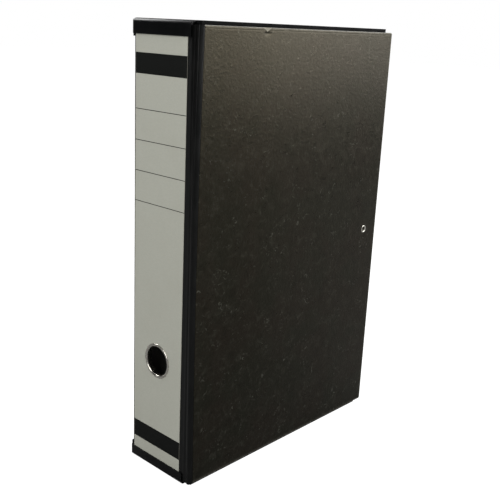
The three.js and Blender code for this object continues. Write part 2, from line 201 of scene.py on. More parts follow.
def inside_box(paint):
    """1 on the faces that look into the tray, and 0 on its outer faces and edges."""
    tree = paint.tree
    skin = 0.1
    x = within(tree, paint.x, SPINE[1].x - skin, WALL[0].x + skin)
    y = within(tree, paint.y, LID[1].y + 2 * skin, BASE[0].y + skin)
    z = within(tree, paint.z, LOWER_END[1].z - skin, UPPER_END[0].z + skin)
    return calc(tree, "MULTIPLY", calc(tree, "MULTIPLY", x, y), z)


def lining_colour(paint):
    """Grey lining paper with faint fibres."""
    tree = paint.tree
    fibre = noise(tree, paint.stretched(1, 1, 0.35), 0.9, 4, 0.6)
    cloud = noise(tree, paint.place, 28, 3, 0.5)
    base = mix(tree, ramp(tree, fibre, 0.3, 0.7), colour(0.20, 0.195, 0.175), colour(0.25, 0.243, 0.22))
    stain = ramp(tree, cloud, 0.35, 0.75, 0.0, 0.35)
    return mix(tree, stain, base, colour(0.19, 0.18, 0.155)), fibre


# The crease's line, as X at the floor, its lean over the height, and where it fades out
CREASE_X = 226.0
CREASE_LEAN = 0.06
CREASE_END = (344.5, 350.5)


def marbled_paper():
    paint = Paint("marbled_paper")
    tree = paint.tree
    tint = ramp(tree, noise(tree, paint.place, 48, 3, 0.55), 0.4, 0.6)
    ground = mix(tree, tint, colour(0.0060, 0.0068, 0.0050), colour(0.0080, 0.0068, 0.0054))
    broad = noise(tree, paint.place, 17, 4, 0.6, 0.6, (5, 0, 40))
    ground = mix(tree, ramp(tree, broad, 0.45, 0.75, 0, 0.5), ground, colour(0.0125, 0.0122, 0.0098))
    cloud = noise(tree, paint.place, 6.5, 5, 0.66, 1.1, (0, 0, 17))
    ground = mix(tree, ramp(tree, cloud, 0.5, 0.74, 0, 0.6), ground, colour(0.027, 0.027, 0.0220))
    shade = noise(tree, paint.place, 9, 4, 0.6, 0.8, (31, 0, 3))
    ground = mix(tree, ramp(tree, shade, 0.52, 0.72, 0, 0.7), ground, colour(0.0025, 0.0026, 0.0022))
    speck = noise(tree, paint.place, 4.2, 3, 0.55, 1.6, (9, 0, 60))
    sparse = noise(tree, paint.place, 21, 2, 0.5, 0, (2, 0, 90))
    spots = calc(tree, "MULTIPLY", ramp(tree, speck, 0.60, 0.72), ramp(tree, sparse, 0.45, 0.58))
    ground = mix(tree, spots, ground, colour(0.066, 0.067, 0.056))
    vein = band(tree, noise(tree, paint.place, 13, 3, 0.6, 1.5, (44, 0, 8)), 0.5, 0.006, 0.012)
    veins = calc(tree, "MULTIPLY", vein, ramp(tree, cloud, 0.5, 0.65, 0, 0.5))
    ground = mix(tree, veins, ground, colour(0.034, 0.034, 0.028))
    grain = noise(tree, paint.place, 0.7, 3, 0.6)
    ground = mix(tree, 0.6, ground, ramp(tree, grain, 0.25, 0.75, 0.3, 0.7), "OVERLAY")
    # Worn edges, where the paper's pale core shows
    rub = noise(tree, paint.place, 5, 4, 0.65, 0, (7, 0, 7))
    worn = calc(tree, "MULTIPLY", paint.attribute("wear"), ramp(tree, rub, 0.3, 0.62, 0.35, 1))
    ground = mix(tree, worn, ground, colour(0.125, 0.12, 0.098))
    # Painted highlight: where the wear is above 1.5, the dent's facet is painted pale as if lit from
    # above
    dent_highlight = ramp(tree, paint.attribute("wear"), 1.5, 2.5)
    ground = mix(tree, dent_highlight, ground, colour(0.36, 0.34, 0.28))
    # A faint crease near the fore-edge, from the lid's top down
    lean = calc(tree, "MULTIPLY", paint.z, CREASE_LEAN)
    line = band(tree, calc(tree, "ADD", paint.x, lean), CREASE_X, 0.35, 0.5)
    outside = ramp(tree, paint.y, LID[1].y / 2 - 0.1, LID[1].y / 2, 1, 0)
    reach = calc(tree, "MULTIPLY", ramp(tree, paint.z, *CREASE_END), outside)
    crease = calc(tree, "MULTIPLY", line, reach)
    ground = mix(tree, calc(tree, "MULTIPLY", crease, 0.5), ground, colour(0.09, 0.088, 0.075))
    rough = ramp(tree, cloud, 0.3, 0.7, 0.27, 0.36)
    pits = noise(tree, paint.place, 2.4, 4, 0.6)
    height = calc(tree, "ADD", calc(tree, "MULTIPLY", pits, 0.8), calc(tree, "MULTIPLY", grain, 0.2))
    return paint.finish(ground, rough, height, 0.2, 1.0, Specular_IOR_Level=0.25,
                        Specular_Tint=colour(1.0, 0.83, 0.50))


def lining_paper():
    paint = Paint("lining_paper")
    base, fibre = lining_colour(paint)
    return paint.finish(base, ramp(paint.tree, fibre, 0.2, 0.8, 0.62, 0.75), fibre, 0.04)


def black_grain(paint, size):
    """Height of a fine leather grain, in pebbles of about that size."""
    tree = paint.tree
    inputs = {"Vector": paint.place, "Scale": 1 / size, "Randomness": 0.9}
    cells = add(tree, "TexVoronoi", inputs, feature="SMOOTH_F1").outputs["Distance"]
    return calc(tree, "SUBTRACT", noise(tree, paint.place, 3 * size, 3, 0.6), cells)


def black_paper():
    """Black covering paper, with the lining on the faces that look into the tray."""
    paint = Paint("black_paper")
    tree = paint.tree
    grain = black_grain(paint, 0.8)
    dust = noise(tree, paint.place, 12, 4, 0.6)
    dusty = ramp(tree, dust, 0.4, 0.8)
    black = mix(tree, dusty, colour(0.0016, 0.0018, 0.0017), colour(0.0040, 0.0042, 0.0037))
    lining, _ = lining_colour(paint)
    base = mix(tree, inside_box(paint), black, lining)
    rough = ramp(tree, dust, 0.3, 0.7, 0.5, 0.62)
    return paint.finish(base, rough, grain, 0.03, 0.6, Specular_IOR_Level=0.3)


# Spacing of the hinge cloth's threads
WARP_PITCH = 0.55
WEFT_PITCH = 0.5


def hinge_cloth():
    """Black bookbinding cloth: fine threads both ways under a dull sheen."""
    paint = Paint("hinge_cloth")
    tree = paint.tree
    around = calc(tree, "ADD", paint.x, paint.y)
    warp = calc(tree, "SINE", calc(tree, "MULTIPLY", around, 2 * math.pi / WARP_PITCH))
    weft = calc(tree, "SINE", calc(tree, "MULTIPLY", paint.z, 2 * math.pi / WEFT_PITCH))
    weave = calc(tree, "MULTIPLY", warp, weft)
    dust = noise(tree, paint.stretched(1, 1, 0.3), 5, 4, 0.6)
    dusty = ramp(tree, dust, 0.4, 0.8)
    base = mix(tree, dusty, colour(0.0012, 0.0014, 0.0013), colour(0.0032, 0.0033, 0.0030))
    rough = ramp(tree, dust, 0.3, 0.7, 0.28, 0.36)
    return paint.finish(base, rough, weave, 0.008, 0.5, Specular_IOR_Level=0.28)


def black_cover():
    """Smooth black sheet of the end covers, with handling marks in its sheen."""
    paint = Paint("black_cover")
    tree = paint.tree
    marks = noise(tree, paint.place, 14, 5, 0.65, 0.5)
    fine = noise(tree, paint.stretched(1, 1, 4), 1.2, 3, 0.6)
    handled = ramp(tree, marks, 0.4, 0.8)
    base = mix(tree, handled, colour(0.0008, 0.0010, 0.0012), colour(0.0020, 0.0022, 0.0025))
    worn = calc(tree, "MULTIPLY", paint.attribute("wear"), ramp(tree, fine, 0.4, 0.7, 0.1, 0.6))
    base = mix(tree, worn, base, colour(0.03, 0.03, 0.031))
    # The sheet's cut edge beside the lid is dull
    cut_edge = ramp(tree, paint.y, LID[1].y + 0.25, LID[1].y + 0.5, 0.55, 0.0)
    rough = calc(tree, "ADD", ramp(tree, marks, 0.3, 0.7, 0.30, 0.40), cut_edge)
    return paint.finish(base, rough, fine, 0.008, 0.5, Specular_IOR_Level=0.22)


# Printed bands and rules of the label, as heights above the floor
LABEL_BANDS = ((332.0, 347.8), (20.7, 36.6))
LABEL_RULES = (305.2, 280.9, 256.6, 232.0)
RULE_HALF_WIDTH = 0.28


def label_paper():
    paint = Paint("label_paper")
    tree = paint.tree
    fibre = noise(tree, paint.stretched(1, 0.4, 1), 0.8, 4, 0.6)
    cloud = noise(tree, paint.place, 30, 3, 0.5)
    fibres = ramp(tree, fibre, 0.3, 0.7)
    base = mix(tree, fibres, colour(0.392, 0.396, 0.342), colour(0.418, 0.421, 0.366))
    base = mix(tree, ramp(tree, cloud, 0.4, 0.8, 0, 0.25), base, colour(0.36, 0.355, 0.30))
    inked = 0.0
    for low, high in LABEL_BANDS:
        inked = calc(tree, "MAXIMUM", inked, within(tree, paint.z, low, high, 0.1))
    for height in LABEL_RULES:
        inked = calc(tree, "MAXIMUM", inked, band(tree, paint.z, height, RULE_HALF_WIDTH, 0.1))
    ink = mix(tree, fibres, colour(0.0022, 0.0028, 0.0022), colour(0.0045, 0.0052, 0.0043))
    base = mix(tree, inked, base, ink)
    rim = within(tree, paint.y, LABEL[0].y + 0.15, LABEL[1].y - 0.15, 0.3)
    base = mix(tree, rim, colour(0.24, 0.235, 0.20), base)
    return paint.finish(base, ramp(tree, fibre, 0.2, 0.8, 0.55, 0.66), fibre, 0.02, 0.6,
                        Specular_IOR_Level=0.15)


def metal(name, base, worn, roughness, tarnish_size, along=(1, 1, 1)):
    paint = Paint(name)
    tree = paint.tree
    tarnish = noise(tree, paint.place, tarnish_size, 4, 0.6)
    drawn = noise(tree, paint.stretched(*along), 0.35, 3, 0.6)
    shade = mix(tree, ramp(tree, tarnish, 0.45, 0.75), base, worn)
    rough = calc(tree, "ADD", ramp(tree, tarnish, 0.35, 0.75, roughness, roughness + 0.12),
                 ramp(tree, drawn, 0.2, 0.8, -0.04, 0.04))
    return paint.finish(shade, rough, drawn, 0.004, 0.5, Metallic=1.0)


PAINTS = {
    "marbled_paper": marbled_paper(),
    "black_paper": black_paper(),
    "black_cover": black_cover(),
    "hinge_cloth": hinge_cloth(),
    "label_paper": label_paper(),
    "nickel": metal("nickel", colour(0.64, 0.62, 0.56), colour(0.46, 0.43, 0.37), 0.20, 3),
    "spring_steel": metal("spring_steel", colour(0.46, 0.46, 0.47), colour(0.30, 0.29, 0.28), 0.30, 4),
    "zinc_steel": metal("zinc_steel", colour(0.44, 0.45, 0.47), colour(0.33, 0.33, 0.34), 0.36, 7),
    "lining_paper": lining_paper(),
}


# Meshes


def add_piece(name, points, faces, paints, paint_of=None, wear=None):
    """A mesh object from points in case millimetres. paint_of gives a face's index in paints."""
    mesh = bpy.data.meshes.new(name)
    mesh.from_pydata([at(*point) for point in points], [], faces)
    for paint in paints:
        mesh.materials.append(PAINTS[paint])
    piece = bpy.data.objects.new(name, mesh)
    bpy.context.scene.collection.objects.link(piece)
    if wear is not None:
        mesh.attributes.new("wear", "FLOAT", "POINT").data.foreach_set("value", wear)
    if paint_of:
        for index, face in enumerate(faces):
            mesh.polygons[index].material_index = paint_of(face)
    return piece


def smooth(piece, degrees=38):
    piece.data.shade_smooth()
    piece.data.set_sharp_from_angle(angle=math.radians(degrees))


def apply_modifiers(piece):
    graph = bpy.context.evaluated_depsgraph_get()
    mesh = bpy.data.meshes.new_from_object(piece.evaluated_get(graph))
    piece.modifiers.clear()
    piece.data = mesh


def stands_for(piece, *nodes):
    """The piece takes the nodes' place: the nodes are hidden."""
    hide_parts(*nodes)


def fixed(piece, *nodes):
    """The piece takes the nodes' place, and moves with the first one's body."""
    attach(piece, BODY_OF[nodes[0]])
    stands_for(piece, *nodes)


def drill(piece, centre, radius, axis, length=40):
    """Cuts a round hole through the piece."""
    turn = {"x": Matrix.Rotation(math.pi / 2, 4, "Y"), "y": Matrix.Rotation(math.pi / 2, 4, "X")}[axis]
    mesh = bpy.data.meshes.new("drill")
    tool = bmesh.new()
    bmesh.ops.create_cone(tool, cap_ends=True, segments=64, radius1=radius * MM, radius2=radius * MM,
                          depth=length * MM, matrix=Matrix.Translation(at(*centre)) @ turn)
    tool.to_mesh(mesh)
    tool.free()
    cutter = bpy.data.objects.new("drill", mesh)
    bpy.context.scene.collection.objects.link(cutter)
    cut = piece.modifiers.new("hole", "BOOLEAN")
    cut.operation = "DIFFERENCE"
    cut.solver = "EXACT"
    cut.object = cutter
    bpy.context.view_layer.update()
    apply_modifiers(piece)
    bpy.data.objects.remove(cutter)


# Cover boards

# Radii of a board's corners and edges, and the paper's fold line along the edges
CORNER = 1.5
FACE_EDGE = 1.3
INNER_EDGE = 0.25
GROOVE_AT = 2.15
GROOVE_DEPTH = 0.06
GROOVE_WIDTH = 0.35
# Distances from an edge at which the mesh has lines, on the face and in the rounded edge
EDGE_STEPS = (1.5, 1.8, 2.0, 2.15, 2.3, 2.5, 2.8, 3.3, 4.2, 5.5, 7.5)
RIM_STEPS = (1.3, 1.1, 0.9, 0.7, 0.5, 0.34, 0.2, 0.1, 0.03, 0.0)
FAN = 6
# Spacing of the mesh's other lines, the share of it that is too near, and the least gap
GRID_PITCH = 6
CROWDED = 0.4
LEAST_GAP = 0.04
# How far from an edge the paper is rubbed
WEAR_REACH = 1.5


def roundover(inset, radius):
    """How far a rounded edge lies below its face, at a distance from the edge."""
    if inset >= radius:
        return 0.0
    return radius - math.sqrt(radius ** 2 - (radius - inset) ** 2)


def grid_lines(low, high, extra):
    """Lines across a board: close together at its edges and at extra places."""
    margin = EDGE_STEPS[-1]
    spread = int((high - low - 2 * margin) / GRID_PITCH)
    inner = [low + margin + (high - low - 2 * margin) * i / spread for i in range(1, spread)]
    wanted = sorted([low + s for s in EDGE_STEPS] + [high - s for s in EDGE_STEPS] + list(extra))
    lines = list(wanted)
    for line in inner:
        if all(abs(line - near) > CROWDED * GRID_PITCH for near in wanted):
            lines.append(line)
    kept = []
    for line in sorted(lines):
        if not kept or line - kept[-1] > LEAST_GAP:
            kept.append(line)
    return kept


def cover_board(name, outer_y, inner_y, outer_depth, inner_depth, extra_x, extra_z, paints,
                paint_of, shaped, painted_highlight_of=lambda x, z: 0):
    """A board in the plane of X and Z with rounded edges.

    outer_depth and inner_depth give how far each face lies below its plane at (x, z, inset),
    where inset is the distance from the nearest edge. shaped moves a finished point, paint_of
    gives a face's index in paints, and the last argument adds a painted highlight to the wear at (x,
    z).
    """
    x0, x1 = LID[0].x, LID[1].x
    z0, z1 = LID[0].z, LID[1].z
    xs = grid_lines(x0, x1, extra_x)
    zs = grid_lines(z0, z1, extra_z)
    thick = abs(inner_y - outer_y)
    inward = 1 if inner_y > outer_y else -1
    points, wear = [], []

    def put(x, z, depth, inset):
        points.append(shaped(x, outer_y + inward * depth, z))
        # Wear at the edges, plus a painted highlight from the last argument
        rubbed = math.exp(-((inset / WEAR_REACH) ** 2)) + painted_highlight_of(x, z)
        wear.append(rubbed if depth < thick / 2 else 0.0)
        return len(points) - 1

    def inset_of(x, z):
        return min(x - x0, x1 - x, z - z0, z1 - z)

    def face_grid(depth_of):
        return [[put(x, z, depth_of(x, z), inset_of(x, z)) for z in zs] for x in xs]

    outer = face_grid(lambda x, z: outer_depth(x, z, inset_of(x, z)))
    inner = face_grid(lambda x, z: thick - inner_depth(x, z, inset_of(x, z)))
    last_x, last_z = len(xs) - 1, len(zs) - 1
    walk = []
    quarter = math.pi / 2
    corners = (
        ([(i, 0) for i in range(1, last_x)], (0, -1), (last_x, 0), -quarter),
        ([(last_x, j) for j in range(1, last_z)], (1, 0), (last_x, last_z), 0),
        ([(i, last_z) for i in range(last_x - 1, 0, -1)], (0, 1), (0, last_z), quarter),
        ([(0, j) for j in range(last_z - 1, 0, -1)], (-1, 0), (0, 0), 2 * quarter),
    )
    for side, out, corner, turn in corners:
        walk += [(place, out) for place in side]
        for step in range(FAN + 1):
            angle = turn + quarter * step / FAN
            walk.append((corner, (math.cos(angle), math.sin(angle))))

    def rim(depth_of, insets):
        rings = []
        for inset in insets:
            ring = []
            for (i, j), (ox, oz) in walk:
                x = xs[i] + ox * (CORNER - inset)
                z = zs[j] + oz * (CORNER - inset)
                ring.append(put(x, z, depth_of(x, z, inset), inset))
            rings.append(ring)
        return rings

    faces = []

    def strip(a, b):
        for k in range(len(walk)):
            n = (k + 1) % len(walk)
            loop = [a[k], a[n], b[n], b[k]]
            if a[k] == a[n]:
                loop = [a[k], b[n], b[k]]
            faces.append(loop if inward > 0 else loop[::-1])

    loops = [[outer[i][j] for (i, j), _ in walk]]
    loops += rim(outer_depth, RIM_STEPS)
    loops += rim(lambda x, z, s: thick - inner_depth(x, z, s), RIM_STEPS[::-1])
    loops.append([inner[i][j] for (i, j), _ in walk])
    for a, b in zip(loops, loops[1:]):
        strip(b, a)
    for i in range(last_x):
        for j in range(last_z):
            front = [outer[i][j], outer[i + 1][j], outer[i + 1][j + 1], outer[i][j + 1]]
            back = [inner[i][j], inner[i][j + 1], inner[i + 1][j + 1], inner[i + 1][j]]
            faces.append(front if inward > 0 else front[::-1])
            faces.append(back if inward > 0 else back[::-1])

    def paint_face(face):
        middle = [sum(points[v][axis] for v in face) / len(face) for axis in range(3)]
        return paint_of(*middle)

    return add_piece(name, points, faces, paints, paint_face, wear)


# The lid's hinge edge sinks into the open gap between its two ends
SINK = 2.2
SINK_REACH = 95
# The marbled paper starts beside the hinge cloth, whose bed slopes down to the corner
PAPER_START = (3.78, 4.02)
PAPER_EDGE = sum(PAPER_START) / 2
PAPER_RISE = 0.28
CLOTH_BED = 0.3
SLOPE_DEPTH = 1.0
SLOPE_LINES = (1.2, 1.6, 2.0, 2.4, 2.8)
# Where the lining paper's edge rises, as distances from the lid's own edges
LINING_AT_HINGE = (8, 8.3)
LINING_AT_FORE_EDGE = (10.4, 10.7)
LINING_AT_ENDS = (4.2, 4.45)
LINING_RISE = 0.15
# The dent is a slanted facet with a shallow hollow below it. Wear above 1 is a painted highlight on the
# facet, pale as if lit from above
DENT_HIGHLIGHT_LEVEL = 3
DENT_HIGHLIGHT_SOFTNESS = 0.25
DENT_X = 69.6
DENT_HALF_WIDTH = 4.6
DENT_DEPTH = 2.9
DENT_REACH = 1.6
DENT_LINES = (0, 0.5, 1.0, 1.6, 2.2, 2.8, 3.4, 4.2, 5)
HOLLOW_DEPTH = 0.45
HOLLOW_WIDTH = 0.7
HOLLOW_HEIGHT = 1.1
HOLLOW_BELOW = 4.4
HOLLOW_FADE = (0.8, 2.8)
DENT_END = 12
HOLLOW_LINES = (4.45, 6.5, 8.5, 10.5)
EYELET_HOLE = 2.75


def sink_at(z):
    share = min(1, max(0, (z - LID[0].z) / (LID[1].z - LID[0].z)))
    return SINK * math.sin(math.pi * share) ** 0.8


def lid_cover():
    z1 = LID[1].z

    def sunk(x, z):
        return sink_at(z) * (1 - smoothstep(x, 0, SINK_REACH))

    def outer_depth(x, z, inset):
        papered = smoothstep(x, *PAPER_START)
        paper = PAPER_RISE * papered
        groove = GROOVE_DEPTH * math.exp(-(((inset - GROOVE_AT) / GROOVE_WIDTH) ** 2))
        slope = CLOTH_BED + SLOPE_DEPTH * max(0, 1 - x / PAPER_EDGE)
        slope *= 1 - papered
        return max(roundover(inset, FACE_EDGE), slope) + groove * (paper > 0) - paper

    def inner_depth(x, z, inset):
        lined = smoothstep(inset, *LINING_AT_ENDS) * smoothstep(LID[1].x - x, *LINING_AT_FORE_EDGE)
        lined *= smoothstep(x, *LINING_AT_HINGE)
        return roundover(inset, INNER_EDGE) - LINING_RISE * lined

    def shaped(x, y, z):
        across = abs(x - DENT_X) / DENT_HALF_WIDTH
        below = z1 - z
        if across < DENT_REACH and below < DENT_END:
            facet = DENT_DEPTH * max(0, 1 - across) - below
            hollow = math.exp(-((across / HOLLOW_WIDTH) ** 2))
            hollow *= math.exp(-(((below - HOLLOW_BELOW) / HOLLOW_HEIGHT) ** 2))
            y = max(y, facet) + HOLLOW_DEPTH * hollow * (1 - smoothstep(y, *HOLLOW_FADE))
        y += sunk(x, z)
        return x, y, z

    def paint_of(x, y, z):
        across = LID[0].x + LINING_AT_HINGE[0] < x < LID[1].x - LINING_AT_FORE_EDGE[0]
        along = LID[0].z + LINING_AT_ENDS[1] < z < z1 - LINING_AT_ENDS[0]
        return 1 if across and along and y > LID[1].y / 2 + sunk(x, z) else 0

    # Painted highlight: lifts the wear above 1 on the dent's facet, which is then painted pale as if
    # lit
    def painted_highlight_of(x, z):
        facet = DENT_DEPTH * (1 - abs(x - DENT_X) / DENT_HALF_WIDTH) - (z1 - z)
        return DENT_HIGHLIGHT_LEVEL * smoothstep(facet, -DENT_HIGHLIGHT_SOFTNESS, DENT_HIGHLIGHT_SOFTNESS)

    extra_x = [DENT_X + side * step for side in (-1, 1) for step in DENT_LINES]
    extra_x += [*SLOPE_LINES, PAPER_START[0], PAPER_EDGE, PAPER_START[1], *LINING_AT_HINGE]
    extra_x += [LID[1].x - step for step in LINING_AT_FORE_EDGE]
    extra_z = [z1 - step for step in HOLLOW_LINES] + [LID[0].z + LINING_AT_ENDS[1]]
    piece = cover_board("lid_cover", LID[0].y, LID[1].y, outer_depth, inner_depth, extra_x, extra_z,
                        ("marbled_paper", "lining_paper"), paint_of, shaped, painted_highlight_of)
    middle = (EYELET[0] + EYELET[1]) / 2
    drill(piece, middle, EYELET_HOLE, "y")
    smooth(piece)
    fixed(piece, "lid_board")


# A black strip covers the base's edge at the spine, and stands proud of the marbled paper
BASE_BLACK = (4.5, 4.65)
BASE_BLACK_RISE = 0.15
BASE_INNER_EDGE = 0.1
RIVET_HOLE = 1.8


def base_cover():
    rivets = [node_box("press_rivet_lower"), node_box("press_rivet_upper")]

    def outer_depth(x, z, inset):
        return roundover(inset, FACE_EDGE) + BASE_BLACK_RISE * smoothstep(x, *BASE_BLACK)

    def inner_depth(x, z, inset):
        return roundover(inset, BASE_INNER_EDGE)

    def paint_of(x, y, z):
        if y < BASE[0].y + BASE_INNER_EDGE / 2 and SPINE[1].x < x < WALL[0].x:
            return 1
        return 2 if x < BASE_BLACK[1] else 0

    extra_x = [SPINE[1].x, *BASE_BLACK, WALL[0].x, WALL[1].x]
    piece = cover_board("base_cover", BASE[1].y, BASE[0].y, outer_depth, inner_depth, extra_x, [],
                        ("marbled_paper", "lining_paper", "black_paper"), paint_of,
                        lambda x, y, z: (x, y, z))
    for low, high in rivets:
        drill(piece, (low + high) / 2, RIVET_HOLE, "y")
    smooth(piece)
    fixed(piece, "base_board")


# The cloth's outer line from the spine round the lid's corner, as (x, y)
CLOTH_LINE = (
    (-0.42, 8.6), (-0.46, 7.6), (-0.48, 6.9), (-0.42, 6.3), (-0.26, 5.6), (-0.12, 4.9), (-0.08, 4.3),
    (-0.14, 3.8), (-0.28, 3.2), (-0.42, 2.6), (-0.49, 2.0), (-0.46, 1.55), (-0.36, 1.2), (-0.18, 0.95),
    (0.06, 0.78), (0.4, 0.64), (0.9, 0.48), (1.5, 0.31), (2.2, 0.14), (2.8, 0.01), (3.3, -0.08),
    (3.75, -0.12),
)


# The cloth's inner line lies behind the outer one by these steps, before and after its turn
CLOTH_TURN = 0.9
BEHIND_SPINE = (0.45, 0.02)
BEHIND_LID = (0.1, 0.4)
CLOTH_ROWS = 120
# The cloth bends between these two Y, of which the first goes with the lid's sunk edge
CLOTH_BEND = (3.2, 7.2)


def hinge_wrap():
    """The hinge cloth, as one strip that follows the sunk edge of the lid."""
    low, high = CLOTH[0].z, CLOTH[1].z
    inner_line = []
    for x, y in CLOTH_LINE:
        dx, dy = BEHIND_SPINE if y > CLOTH_TURN else BEHIND_LID
        inner_line.append((x + dx, y + dy))
    section = list(CLOTH_LINE) + inner_line[::-1]
    points = []
    for row in range(CLOTH_ROWS + 1):
        z = low + (high - low) * row / CLOTH_ROWS
        for x, y in section:
            follow = 1 - smoothstep(y, *CLOTH_BEND)
            points.append((x, y + sink_at(z) * follow, z))
    width = len(section)
    faces = []
    for row in range(CLOTH_ROWS):
        for k in range(width):
            n = (k + 1) % width
            a, b = row * width, (row + 1) * width
            faces.append([a + k, a + n, b + n, b + k])
    faces.append(list(range(width))[::-1])
    faces.append([CLOTH_ROWS * width + k for k in range(width)])
    piece = add_piece("hinge_wrap", points, faces, ("hinge_cloth",))
    smooth(piece, 50)
    stands_for(piece, "hinge_cloth")
    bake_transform(piece)


def softened(node, name, width, segments=2, bevel_angle=32, smooth_angle=40):
    """A copy of a CAD node with its sharp edges rounded over."""
    source = frame["nodes"][node]
    mesh = source.data.copy()
    shape = bmesh.new()
    shape.from_mesh(mesh)
    bmesh.ops.remove_doubles(shape, verts=shape.verts, dist=2e-6)
    bmesh.ops.dissolve_limit(shape, angle_limit=math.radians(0.5), verts=shape.verts, edges=shape.edges)
    shape.to_mesh(mesh)
    shape.free()
    mesh.materials.clear()
    mesh.materials.append(PAINTS[SLOT_OF[node]])
    piece = bpy.data.objects.new(name, mesh)
    bpy.context.scene.collection.objects.link(piece)
    bevel = piece.modifiers.new("edges", "BEVEL")
    bevel.width = width * MM
    bevel.segments = segments
    bevel.limit_method = "ANGLE"
    bevel.angle_limit = math.radians(bevel_angle)
    bevel.use_clamp_overlap = True
    bpy.context.view_layer.update()
    apply_modifiers(piece)
    smooth(piece, smooth_angle)
    return piece


def lathe(name, profile, axis, centre, paint, segments):
    """A ring from (radius, along) points that close on themselves, about an axis through centre."""
    points = []
    for step in range(segments):
        angle = 2 * math.pi * step / segments
        for radius, along in profile:
            a, b = radius * math.cos(angle), radius * math.sin(angle)
            if axis == "x":
                points.append((along, centre.y + a, centre.z + b))
            else:
                points.append((centre.x + b, along, centre.z + a))
    width = len(profile)
    faces = []
    for step in range(segments):
        a, b = step * width, ((step + 1) % segments) * width
        for k in range(width):
            n = (k + 1) % width
            faces.append([a + k, b + k, b + n, a + n])
    piece = add_piece(name, points, faces, (paint,))
    shape = bmesh.new()
    shape.from_mesh(piece.data)
    bmesh.ops.recalc_face_normals(shape, faces=shape.faces)
    shape.to_mesh(piece.data)
    shape.free()
    smooth(piece, 50)
    return piece


def arc(centre, radius, start, end, steps=8):
    """Points of an arc, in degrees, about centre in a profile."""
    angles = [math.radians(start + (end - start) * i / steps) for i in range(steps + 1)]
    return [(centre[0] + radius * math.cos(a), centre[1] + radius * math.sin(a)) for a in angles]


# Width of the finger ring's rolled rim, and radius of the eyelet's bore
RING_WIDTH = 2.5
EYELET_BORE = 1.85


def finger_ring():
    """The hollow rivet in the finger hole, with its rim rolled over the label."""
    centre = (RING[0] + RING[1]) / 2
    outer = (RING[1].z - RING[0].z) / 2
    bore = outer - RING_WIDTH
    face = LABEL[0].x
    proud = RING[0].x
    rise = face - proud
    profile = [(bore + 0.5, RING[1].x), (bore, RING[1].x - 0.3), (bore, face + 0.4)]
    profile += arc((bore + 1.25, face + 0.45), 1.25, 180, 270, 10)
    profile += arc((outer - rise * 0.9, face), rise * 0.9, 270, 360, 8)
    profile += [(outer - 0.35, face), (bore + 0.5, face), (bore + 0.5, SPINE[1].x + 0.8)]
    profile += [(bore + 1.5, SPINE[1].x + 0.8), (bore + 1.5, RING[1].x - 0.2), (bore + 1.3, RING[1].x)]
    profile = [(radius, max(along, proud)) for radius, along in profile]
    fixed(lathe("finger_ring_rolled", profile, "x", centre, "nickel", 128), "finger_ring")


def eyelet():
    """The hollow rivet in the lid, with its rim rolled over the paper."""
    centre = (EYELET[0] + EYELET[1]) / 2
    outer = (EYELET[1].x - EYELET[0].x) / 2
    bore = EYELET_BORE
    face = LID[0].y
    profile = [(bore, EYELET[1].y - 0.2), (bore, face + 0.35)]
    profile += arc((bore + 0.85, face + 0.35), 0.85, 180, 270, 8)
    profile += arc((outer - 0.5, face), 0.5, 270, 360, 6)
    profile += [(outer - 0.5, face), (bore + 0.6, face), (bore + 0.6, LID[1].y + 1)]
    profile += [(outer - 0.6, LID[1].y + 1), (outer - 0.6, EYELET[1].y - 0.15)]
    profile += [(outer - 0.75, EYELET[1].y), (bore + 0.2, EYELET[1].y)]
    fixed(lathe("lid_eyelet_rolled", profile, "y", centre, "nickel", 64), "lid_eyelet")


# How far from a fold the end cover is rubbed
FOLD_WEAR_REACH = 1.1


def end_cover(node, name):
    """The folded end cover, with the wear along its folds."""
    piece = softened(node, name, 0.3, segments=3, bevel_angle=40, smooth_angle=42)
    low, high = node_box(node)
    upper = low.z > LID[1].z / 2
    edge = high.z if upper else low.z
    wear = []
    for vertex in piece.data.vertices:
        point = (vertex.co - ORIGIN) / MM
        sides = [abs(point.x - low.x), abs(point.y - high.y), abs(point.z - edge)]
        to_fold = sorted(sides)[1]
        wear.append(math.exp(-((to_fold / FOLD_WEAR_REACH) ** 2)))
    piece.data.attributes.new("wear", "FLOAT", "POINT").data.foreach_set("value", wear)
    fixed(piece, node)


# Bevel widths of the small metal parts
SOFTENED = {
    "finger_ring_washer": 0.1,
    "catch_tongue": 0.15,
    "catch_button": 0.25,
    "catch_clip": 0.1,
    "catch_bracket": 0.18,
    "catch_plate": 0.25,
    "catch_rivet_lower": 0.15,
    "catch_rivet_upper": 0.15,
    "press_plate": 0.2,
    "press_rivet_lower": 0.15,
    "press_rivet_upper": 0.15,
    "pivot_rod": 0.15,
}


def small_parts():
    for node, width in SOFTENED.items():
        fixed(softened(node, node + "_edged", width), node)
    bail = softened("press_bail", "press_bail_wire", 0.05, segments=1, bevel_angle=80, smooth_angle=60)
    fixed(bail, "press_bail")


# Where the bail springs' twist starts and ends, from their outer ends
TWIST = (1.2, 5.8)


def spring_wire(node):
    """A spring with its sharp edges rounded over, in its node's place."""
    piece = softened(node, node + "_wire", 0.02, segments=1, bevel_angle=80, smooth_angle=70)
    stands_for(piece, node)
    return piece


def springs():
    """Each spring as a copy with its sharp edges rounded over, in its node's place, with its transform
    baked in.
    """
    low, high = node_box("catch_spring")
    coil = spring_wire("catch_spring")
    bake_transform(coil)
    for node, outward in (("bail_spring_lower", -1), ("bail_spring_upper", 1)):
        low, high = node_box(node)
        outer = low.z if outward < 0 else high.z
        piece = spring_wire(node)
        start, end = (outer - outward * depth for depth in TWIST)
        at(0, 0, start)
        at(0, 0, end)
        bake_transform(piece)


